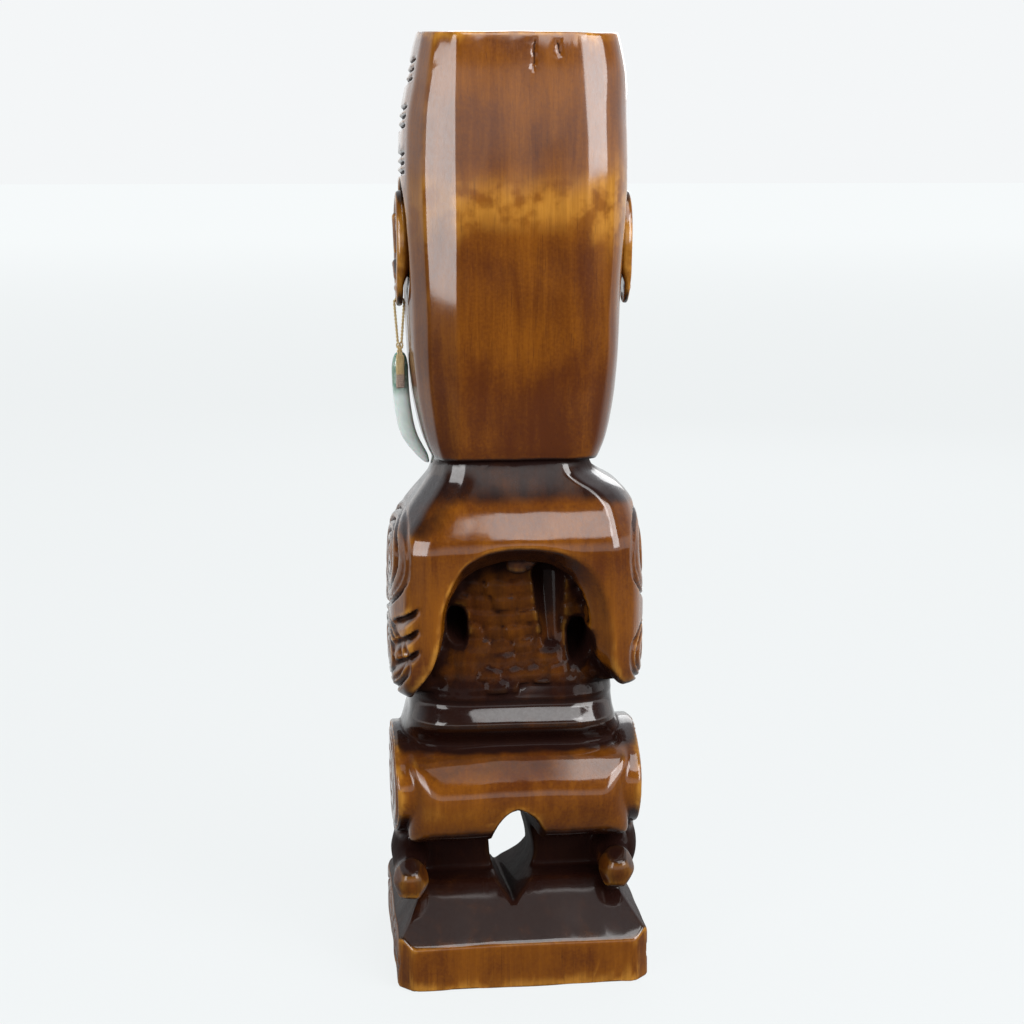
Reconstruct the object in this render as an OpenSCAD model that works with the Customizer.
// Carved timber tiki figure with inlaid shell eyes and a greenstone ear pendant.
// Millimetres. +Z is up, -Y is the figure's front, +X is the figure's own left.
// The origin is on the floor, under the middle of the base.

/* [Base] */
// Width of the base block and of the whole timber
base_w = 122; // [104:1:150]
// Depth of the base block, front to back
base_d = 112; // [94:1:136]
// Height of the base block's upright edge
base_edge_h = 24; // [16:1:32]
// Height of the sloping shoulder above that edge
base_slope_h = 20; // [12:1:28]
// How far the slope runs inwards at the front and back
base_slope_run = 28; // [20:1:32]
// How far the slope runs inwards at the sides
base_side_run = 14; // [8:1:18]
// Cut-off at the base block's upright corners
base_corner = 8; // [3:1:14]

/* [Legs and hips] */
// Clear height between the base slope and the hip roll
leg_h = 23; // [16:1:32]
// Height of the hip roll
hip_h = 50; // [40:1:62]
// Depth of the hip roll from its middle to its back face
hip_back = 45; // [38:1:50]
// Thickness of the raised oval at each end of the hip roll
hip_disc_t = 4; // [2:0.5:7]
// Width of the gap between the legs
leg_gap_w = 25; // [16:1:32]
// Diameter of the rounded heels
heel_d = 18; // [13:1:22]

/* [Waist and body] */
// Height of the waist rolls above the hips
waist_h = 29; // [20:1:40]
// How far the waist is set in from the base's sides
waist_inset = 10; // [6:1:16]
// Height from the waist to the top of the shoulders
torso_h = 104; // [88:1:124]
// Depth of the body from its middle to its back face
body_back = 45; // [38:1:48]
// Depth of the arched hollow in the back
recess_depth = 21; // [12:1:26]
// Width of the arched hollow in the back
recess_w = 70; // [54:1:74]
// Width of the slots between the arms and the trunk
arm_gap_w = 9; // [5:0.5:12]
// Height of the slots between the arms and the trunk
arm_gap_h = 26; // [18:1:32]
// Thickness of the raised oval on each shoulder
shoulder_disc_t = 2; // [1:0.5:3]

/* [Head] */
// Height of the head, from the neck crease to the flat top
head_h = 200; // [176:1:236]
// Width of the head at its widest
head_w = 106; // [94:1:122]
// Depth of the head from its middle to its flat back
head_back = 42; // [36:1:46]
// Depth of the head from its middle to the cheeks
head_front = 43; // [38:1:46]

/* [Ears] */
// Height of each ear plate
ear_h = 54; // [44:1:64]
// Depth of each ear plate, front to back
ear_d = 27; // [20:1:34]
// Thickness of the ear plate
ear_t = 3; // [2.4:0.1:4.5]
// Space between the ear lobe and the side of the head
ear_gap = 2; // [1.9:0.1:4]
// Height of the cord hole above the tip of the ear lobe
lobe_hole_rise = 3.6; // [3:0.1:6]
// Diameter of the cord hole through the ear lobe
lobe_hole_d = 2.6; // [2.4:0.1:3.4]

/* [Eyes] */
// Outer diameter of the shell ring
ring_d = 26; // [20:0.5:32]
// Thickness of the shell ring
ring_t = 2.5; // [1.5:0.1:4]
// Distance from the middle of the face to each eye
eye_x = 23; // [20:0.5:27]
// Diameter of the peg that pins the shell ring and makes the pupil
peg_d = 10; // [7:0.5:13]
// Length of the peg
peg_len = 9; // [6:0.5:13]
// Clearance round the inlaid pieces
inlay_gap = 0.2; // [0.1:0.05:0.4]

/* [Pendant] */
// Length of the greenstone drop, from its shoulder to its hooked tip
drop_len = 54; // [44:1:54]
// Width of the drop at its widest
drop_w = 8; // [6:0.5:11]
// Thickness of the drop
drop_t = 5; // [3.5:0.5:7]
// Diameter of the flax cord
cord_d = 1.3; // [1:0.1:1.5]
// Hanging length of the cord between the ear and the lashing
cord_fall = 21; // [17:1:26]
// Diameter of the hole through the drop
drop_hole_d = 1.8; // [1.7:0.1:3]

/* [Hidden] */

WOOD = "saddlebrown";
SKIN = 0.01;             // thickness of the thin slices that hulls are stretched over
LEFT = 1;
RIGHT = -1;

// Levels up the figure, each from the one below it
z_edge = base_edge_h;
z_slope = z_edge + base_slope_h;
z_hip = z_slope + leg_h;
z_waist = z_hip + hip_h;
z_arm = z_waist + waist_h;
z_neck = z_arm + torso_h;
z_top = z_neck + head_h;
half_w = base_w / 2;

// Places that the ears, the eyes and the pendant share with the head
head_half = head_w / 2;
ear_y = 2;
ear_root = head_half - 2.4;                        // side of the head behind the lobe
ear_top = z_neck + head_h * 0.64;
ear_mid = ear_top - ear_h / 2;
lobe_in = ear_root + ear_gap;
lobe_mid = lobe_in + ear_t / 2;
hole_z = ear_top - ear_h + lobe_hole_rise;
eye_z = z_neck + head_h * 0.515;
face_y = -head_front;
ring_seat = 3.2;                                   // depth of the ring's seat behind the eyelids
eyelid_y = face_y - 2.6;
ring_back = eyelid_y + ring_seat;

// The cord passes over the lobe's hole in a half turn and hangs down on both sides
strand_r = ear_t / 2 + cord_d / 2 + 0.2;
turn_z = hole_z - strand_r + ear_t * 0.35 / 3;
knot_z = turn_z - cord_fall;
knot_r = 1.9;
drop_top = knot_z - knot_r - 0.1;
drop_hole_z = drop_top - 11;

// ---------- shared shapes ----------

// A thin level slice of half-width w, back face b and front face f, with cut-off corners
module slice(z, w, b, f, back_cut, front_cut)
    translate([0, 0, z])
        linear_extrude(SKIN)
            polygon([[w, b - back_cut], [w - back_cut * 0.35, b - back_cut * 0.35], [w - back_cut, b],
                     [back_cut - w, b], [back_cut * 0.35 - w, b - back_cut * 0.35], [-w, b - back_cut],
                     [-w, front_cut - f], [front_cut * 0.35 - w, front_cut * 0.35 - f], [front_cut - w, -f],
                     [w - front_cut, -f], [w - front_cut * 0.35, front_cut * 0.35 - f], [w, front_cut - f]]);

// An oval plate standing on a side face, rounded over at its rim
module side_oval(side, x, y, z, d, h, t)
    translate([side * x, y, z])
        scale([1, d / h, 1])
            hull() {
                rotate([0, side * 90, 0]) cylinder(h = t * 0.5, d = h, $fn = 24);
                rotate([0, side * 90, 0]) cylinder(h = t, d = h - 2 * t, $fn = 24);
            }

module bead(p, d) translate(p) sphere(d = d, $fn = 12);

// A rounded bar between two points
module bar(p, q, d) hull() { bead(p, d); bead(q, d); }

// ---------- carved figure ----------

module base_block() {
    hull() {
        slice(0, half_w - 1, base_d / 2 - 1, base_d / 2 - 1, base_corner, base_corner);
        slice(1.5, half_w, base_d / 2, base_d / 2, base_corner, base_corner);
        slice(z_edge, half_w, base_d / 2, base_d / 2, base_corner, base_corner);
        slice(z_slope, half_w - base_side_run, base_d / 2 - base_slope_run,
              base_d / 2 - base_slope_run, base_corner, base_corner);
    }
    for (side = [LEFT, RIGHT])
        side_oval(side, half_w - 0.5, 0, z_edge * 0.62, base_d * 0.5, z_edge * 0.9, 1.5);
}

module legs() {
    heel_x = half_w - heel_d / 2 - 2;
    for (side = [LEFT, RIGHT]) {
        // shin and calf, from the base up into the hip roll
        hull() {
            for (p = [[leg_gap_w / 2 + 6, -16], [half_w - 12, -16], [leg_gap_w / 2 + 6, 8], [half_w - 12, 12]])
                translate([side * p[0], p[1], z_edge])
                    cylinder(h = z_hip + hip_h * 0.4 - z_edge, r = 6, $fn = 12);
        }
        // heel
        hull() {
            bead([side * heel_x, base_d / 2 - base_slope_run + 7, z_slope + heel_d * 0.3], heel_d);
            bead([side * (heel_x - 1), 8, z_slope + heel_d * 0.5], heel_d - 4);
        }
        // foot, pointing forwards
        hull() {
            bead([side * (leg_gap_w / 2 + 14), -24, z_slope - 2], 22);
            bead([side * (leg_gap_w / 2 + 10), -42, z_edge + 4], 14);
            bead([side * (leg_gap_w / 2 + 26), -42, z_edge + 4], 14);
        }
    }
}

module hip_roll() {
    b = hip_back;
    body_half = half_w - hip_disc_t - 3;
    hull() {
        for (x = [body_half, body_half - 8]) for (side = [LEFT, RIGHT]) {
            in = (x == body_half) ? 7 : 0;
            translate([side * x, 0, 0]) rotate([90, 0, 90])
                linear_extrude(SKIN)
                    polygon([[in - b, z_hip + 14], [in * 0.5 - b + 9, z_hip + in * 0.5], [b - 9 - in * 0.5, z_hip + in * 0.5],
                             [b - in, z_hip + 10], [b - in, z_waist - 17], [b - 15 - in * 0.6, z_waist - in * 0.4],
                             [18 - b + in, z_waist - in * 0.4], [in - b, z_waist - 16]]);
        }
    }
    for (side = [LEFT, RIGHT])
        side_oval(side, body_half - 1, 2, (z_hip + z_waist) / 2, 2 * b - 18, hip_h + 2, hip_disc_t + 4);
}

module waist() {
    w = half_w - waist_inset;
    hull() for (z = [z_waist - 8, z_arm + 6]) slice(z, w - 3, 29, 31, 12, 12);
    // two soft rolls across the loins
    for (step = [0.48, 0.78])
        hull() for (rise = [[-0.16, 3], [-0.08, 0.6], [0.08, 0.6], [0.16, 3]])
            slice(z_waist + waist_h * (step + rise[0]), w - rise[1], 30 + step * 7 - rise[1], 34 - rise[1], 12, 12);
}

// Trunk, shoulders and upper arms as one block, before the hollows are cut
module shoulder_block() {
    b = body_back;
    hull() {
        slice(z_neck - 5, half_w - 24, b - 20, 24, 10, 10);
        slice(z_neck - 10, half_w - 15, b - 15, 28, 10, 10);
        slice(z_neck - 22, half_w - 4, b - 7, 34, 12, 12);
        slice(z_neck - 36, half_w - 1, b, 37, 12, 12);
        slice(z_arm + 34, half_w, b, 38, 11, 12);
        slice(z_arm + 12, half_w - 1, b, 36, 11, 12);
        slice(z_arm, half_w - 7, b - 6, 30, 10, 12);
    }
    for (side = [LEFT, RIGHT]) {
        side_oval(side, half_w - 2, 2, z_neck - 38, 54, 50, shoulder_disc_t + 1.5);
        side_oval(side, half_w - 2, -2, z_arm + 20, 46, 38, shoulder_disc_t + 1.5);
    }
}

module belly_and_hands() {
    // belly between the hands
    hull() {
        translate([0, -26, z_arm + 28]) scale([1.25, 0.8, 1.2]) sphere(d = 46, $fn = 16);
        translate([0, -16, z_arm + 62]) scale([1.5, 0.8, 1]) sphere(d = 46, $fn = 16);
    }
    for (side = [LEFT, RIGHT]) {
        // forearm, from the elbow round to the belly
        hull() {
            bead([side * (half_w - 12), -20, z_arm + 14], 23);
            bead([side * 27, -41, z_arm + 32], 17);
        }
        // three fingers laid on the belly
        for (finger = [-1, 0, 1])
            bar([side * 25, -44, z_arm + 32 + finger * 6], [side * 9, -45.5, z_arm + 33 + finger * 6.4], 6);
    }
}

// The arched hollow in the back and the slots that part the arms from the trunk
module back_hollows() {
    arch = recess_w / 2;
    top = z_neck - 45;
    floor_y = body_back - recess_depth;
    // hollow with a bevelled rim
    hull() {
        for (side = [LEFT, RIGHT]) {
            translate([side * (arch - 18), floor_y, top - 18]) rotate([-90, 0, 0]) cylinder(h = SKIN, r = 14, $fn = 24);
            translate([side * (arch - 18), body_back - 6, top - 18]) rotate([-90, 0, 0]) cylinder(h = SKIN, r = 16, $fn = 24);
            translate([side * (arch - 4), floor_y, z_arm - 1]) cube([SKIN, SKIN, SKIN]);
            translate([side * (arch + 2), body_back - 6, z_arm - 6]) cube([SKIN, SKIN, SKIN]);
        }
    }
    hull() {
        for (side = [LEFT, RIGHT]) {
            translate([side * (arch - 18), body_back - 7, top - 18]) rotate([-90, 0, 0]) cylinder(h = SKIN, r = 16, $fn = 24);
            translate([side * (arch - 14), body_back + 1, top - 13]) rotate([-90, 0, 0]) cylinder(h = SKIN, r = 22, $fn = 24);
            translate([side * (arch + 2), body_back - 7, z_arm - 8]) cube([SKIN, SKIN, SKIN]);
            translate([side * (arch + 6), body_back + 1, z_arm - 8]) cube([SKIN, SKIN, SKIN]);
        }
    }
    // slots right through to the front, between arm and trunk
    for (side = [LEFT, RIGHT])
        hull()
            for (end = [[floor_y + 6, z_arm + 8], [-50, z_arm + 50]]) for (rise = [0, arm_gap_h - arm_gap_w])
                translate([side * (arch - 4 - arm_gap_w / 2), end[0], end[1] + arm_gap_w / 2 + rise])
                    rotate([90, 0, 0]) cylinder(h = SKIN, d = arm_gap_w, $fn = 16);
}

module leg_gap() {
    r = leg_gap_w / 2;
    hull()
        for (y = [-base_d, base_d])
            translate([0, y, 0]) rotate([90, 0, 0]) {
                translate([0, z_hip + 5]) cylinder(h = SKIN, r = r, $fn = 24);
                translate([0, z_slope + 6]) cylinder(h = SKIN, r = r * 0.85, $fn = 24);
                translate([-1, z_slope - 2, 0]) cube([2, 1, SKIN]);
            }
}

// Outline of the head at each step up its height: [share of the height, cut from the half-width,
// cut from the back, cut from the front, size of the back corners, size of the front corners]
head_steps = [[0, 14.5, 8, 17, 15, 14], [0.06, 8.5, 4, 5, 19, 19], [0.17, 4.5, 1, 0, 21, 20],
              [0.3, 3, 0, 0, 22, 20], [0.42, 2, 0, 0, 23, 20], [0.55, 0.8, 0, 0, 23, 18],
              [0.7, 0, 0, 1, 23, 18], [0.83, 1.2, 0, 6, 22, 18], [0.93, 4, 1.5, 12, 20, 18],
              [1, 10, 4, 18, 17, 16]];

// Half-width of the head at a level
function cheek_half(z) = head_half - lookup((z - z_neck) / head_h, [for (step = head_steps) [step[0], step[1]]]);

module head_block() {
    hull()
        for (step = head_steps)
            slice(min(z_neck + head_h * step[0], z_top - SKIN), head_half - step[1], head_back - step[2],
                  head_front - step[3], step[4], step[5]);
    // neck, behind and below the jaw
    hull() {
        slice(z_neck - 8, half_w - 26, 26, 24, 10, 10);
        slice(z_neck + 4, head_half - 18, 24, 22, 10, 10);
    }
}

module ear(side) {
    // plate with its lobe hanging free
    difference() {
        hull() {
            translate([side * lobe_mid, ear_y, ear_mid + 5]) scale([1, ear_d / (ear_h - 10), 1])
                rotate([0, 90, 0]) cylinder(h = ear_t, d = ear_h - 10, center = true, $fn = 24);
            translate([side * lobe_mid, ear_y, hole_z])
                rotate([0, 90, 0]) cylinder(h = ear_t, r = lobe_hole_rise, center = true, $fn = 16);
        }
        translate([side * lobe_mid, ear_y, hole_z])
            rotate([0, 90, 0]) cylinder(h = ear_t * 3, d = lobe_hole_d, center = true, $fn = 24);
    }
    // root that joins the plate to the head
    hull() for (dz = [-8, 14])
        translate([side * (ear_root - 6), ear_y, ear_mid + dz])
            rotate([0, side * 90, 0]) cylinder(h = lobe_in - ear_root + 7, d = ear_d - 12, $fn = 24);
    // carved scrolls on the outside
    for (scroll = [[14, 15], [-2, 12], [-14, 9]])
        translate([side * (lobe_mid + ear_t / 2), ear_y, ear_mid + scroll[0]])
            scale([0.28, 1, 1]) sphere(d = scroll[1], $fn = 12);
}

module face() {
    brow_z = eye_z + ring_d * 0.62;
    nose_top = [0, face_y - 2, brow_z - 1];
    for (side = [LEFT, RIGHT]) {
        // eyelid collar round each shell ring
        translate([side * eye_x, eyelid_y, eye_z])
            rotate([-90, 0, 0]) cylinder(h = 12, r1 = ring_d / 2 + 3.5, r2 = ring_d / 2 + 6, $fn = 32);
        // brow, rising from the nose and falling to the temple
        bar([side * 4, face_y - 3, brow_z], [side * eye_x, face_y - 2, brow_z + 2], 9);
        bar([side * eye_x, face_y - 2, brow_z + 2], [side * (eye_x + 19), face_y + 12, brow_z - 9], 8);
        // nostril and lips
        hull() {
            bead([side * 8, face_y - 1, eye_z - 31], 12);
            bead([0, face_y - 4, eye_z - 28], 12);
        }
        for (lip = [[0, 8], [-6.5, 9]])
            bar([0, face_y - 1, eye_z - 50 + lip[0]], [side * 20, face_y + 3, eye_z - 49 + lip[0]], lip[1]);
    }
    // bridge of the nose
    hull() {
        bead(nose_top, 9);
        bead([0, face_y - 6, eye_z - 28], 13);
    }
    // chin
    bar([-8, face_y + 5, z_neck + 17], [8, face_y + 5, z_neck + 17], 20);
}

module eye_sockets() {
    for (side = [LEFT, RIGHT]) translate([side * eye_x, ring_back, eye_z]) rotate([90, 0, 0]) {
        cylinder(h = 30, d = ring_d + 2 * inlay_gap, $fn = 48);
        translate([0, 0, ring_t + 0.6 - peg_len]) cylinder(h = 30, d = peg_d + 2 * inlay_gap, $fn = 32);
    }
}

module carved_figure() {
    color(WOOD) difference() {
        union() {
            base_block();
            legs();
            hip_roll();
            waist();
            shoulder_block();
            belly_and_hands();
            head_block();
            ear(LEFT);
            ear(RIGHT);
            face();
        }
        back_hollows();
        leg_gap();
        eye_sockets();
    }
}

// ---------- inlaid eyes ----------

module eye_ring(side)
    color("mediumaquamarine")
        translate([side * eye_x, ring_back, eye_z]) rotate([90, 0, 0]) difference() {
            cylinder(h = ring_t, d = ring_d, $fn = 64);
            translate([0, 0, -1]) cylinder(h = ring_t + 2, d = peg_d + inlay_gap, $fn = 48);
        }

module eye_peg(side)
    color("black")
        translate([side * eye_x, ring_back, eye_z]) rotate([90, 0, 0])
            translate([0, 0, ring_t + 0.6 - peg_len]) cylinder(h = peg_len, d = peg_d, $fn = 48);

// ---------- pendant ----------

// The cord's route, up one side of the lobe, through its hole and down the other
turn_steps = 8;
strand_lean = 0.9;       // the strands close up by this much on their way to the knot
strand_end_z = knot_z + knot_r + 0.35;
function strand_point(side, t) = [side * (strand_r * t + strand_lean * (1 - t)), strand_end_z + (turn_z - strand_end_z) * t];
cord_route = concat(
    [for (k = [0:5]) strand_point(1, k / 5)],
    [for (k = [1:turn_steps - 1]) let (a = 180 * k / turn_steps) [strand_r * cos(a), turn_z + strand_r * sin(a)]],
    [for (k = [5:-1:0]) strand_point(-1, k / 5)]);

// A closed tube of the given number of sides along a route in the upright plane at y
module tube(route, d, sides, x, y) {
    count = len(route);
    function heading(k) = let (p = route[max(k - 1, 0)], q = route[min(k + 1, count - 1)]) atan2(q[1] - p[1], q[0] - p[0]);
    points = [for (k = [0:count - 1]) for (s = [0:sides - 1])
        let (a = 360 * s / sides, h = heading(k) + 90, r = d / 2)
        [x + route[k][0] + r * cos(a) * cos(h), y + r * sin(a), route[k][1] + r * cos(a) * sin(h)]];
    faces = concat(
        [[for (s = [sides - 1:-1:0]) s]],
        [for (k = [0:count - 2]) for (s = [0:sides - 1])
            let (a = k * sides + s, b = k * sides + (s + 1) % sides) [a, b, b + sides, a + sides]],
        [[for (s = [0:sides - 1]) (count - 1) * sides + s]]);
    polyhedron(points, faces, convexity = 6);
}

module pendant_cord()
    color("palegoldenrod") tube(cord_route, cord_d, 8, lobe_mid, ear_y);

// Knot under the ear, with the strands that carry it down to the hole in the drop
module cord_lashing() {
    strand_y = drop_t / 2 + cord_d / 2 + 0.1;
    color("khaki") translate([lobe_mid, ear_y, 0]) {
        translate([0, 0, knot_z]) sphere(r = knot_r, $fn = 64);
        for (face_side = [-1, 1]) {
            translate([0, face_side * strand_y, drop_hole_z]) {
                sphere(d = cord_d, $fn = 64);
                cylinder(h = knot_z - drop_hole_z, d = cord_d, $fn = 64);
            }
            translate([0, 0, knot_z]) rotate([face_side * -90, 0, 0]) cylinder(h = strand_y, d = cord_d, $fn = 64);
            translate([0, face_side * strand_y, knot_z]) sphere(d = cord_d, $fn = 64);
        }
        translate([0, -strand_y, drop_hole_z]) rotate([-90, 0, 0]) cylinder(h = 2 * strand_y, d = cord_d, $fn = 64);
    }
}

// Half-breadth of the drop, and its drift towards the cheek, at each step down its length:
// [share of the length, share of the full width, distance towards the head]
drop_steps = [[0, 0.35, 0], [0.03, 0.66, 0], [0.08, 0.88, 0], [0.16, 1, 0], [0.28, 1, 0.2], [0.42, 1, 0.7],
              [0.55, 1, 1.6], [0.66, 1, 2.7], [0.75, 0.98, 4.3], [0.84, 0.9, 7], [0.91, 0.76, 9.6],
              [0.96, 0.54, 11.3], [0.99, 0.32, 12.4], [1, 0.15, 13]];

cheek_room = 0.9;        // clearance that the drop keeps from the cheek

// Drift of a step of the drop, held back where the cheek is in the way
function drop_drift(step) = min(step[2], lobe_mid - drop_w / 2 * step[1] - cheek_room
                                         - cheek_half(drop_top - drop_len * step[0]));

module drop_body(sides) {
    count = len(drop_steps);
    points = [for (step = drop_steps) for (s = [0:sides - 1])
        let (a = 360 * s / sides, r = drop_w / 2 * step[1], t = drop_t / 2 * min(1, step[1] + 0.25))
        [r * cos(a) - drop_drift(step), t * sin(a), -drop_len * step[0]]];
    faces = concat(
        [[for (s = [sides - 1:-1:0]) s]],
        [for (k = [0:count - 2]) for (s = [0:sides - 1])
            let (a = k * sides + s, b = k * sides + (s + 1) % sides) [a, b, b + sides, a + sides]],
        [[for (s = [0:sides - 1]) (count - 1) * sides + s]]);
    polyhedron(points, faces, convexity = 4);
}

module greenstone_drop()
    color("cadetblue") translate([lobe_mid, ear_y, drop_top]) difference() {
        drop_body(16);
        translate([0, -drop_t, drop_hole_z - drop_top]) rotate([-90, 0, 0]) cylinder(h = 2 * drop_t, d = drop_hole_d, $fn = 32);
    }

carved_figure();
eye_ring(LEFT);  // eye_ring_left
eye_ring(RIGHT);  // eye_ring_right
eye_peg(LEFT);  // eye_peg_left
eye_peg(RIGHT);  // eye_peg_right
pendant_cord();
cord_lashing();
greenstone_drop();
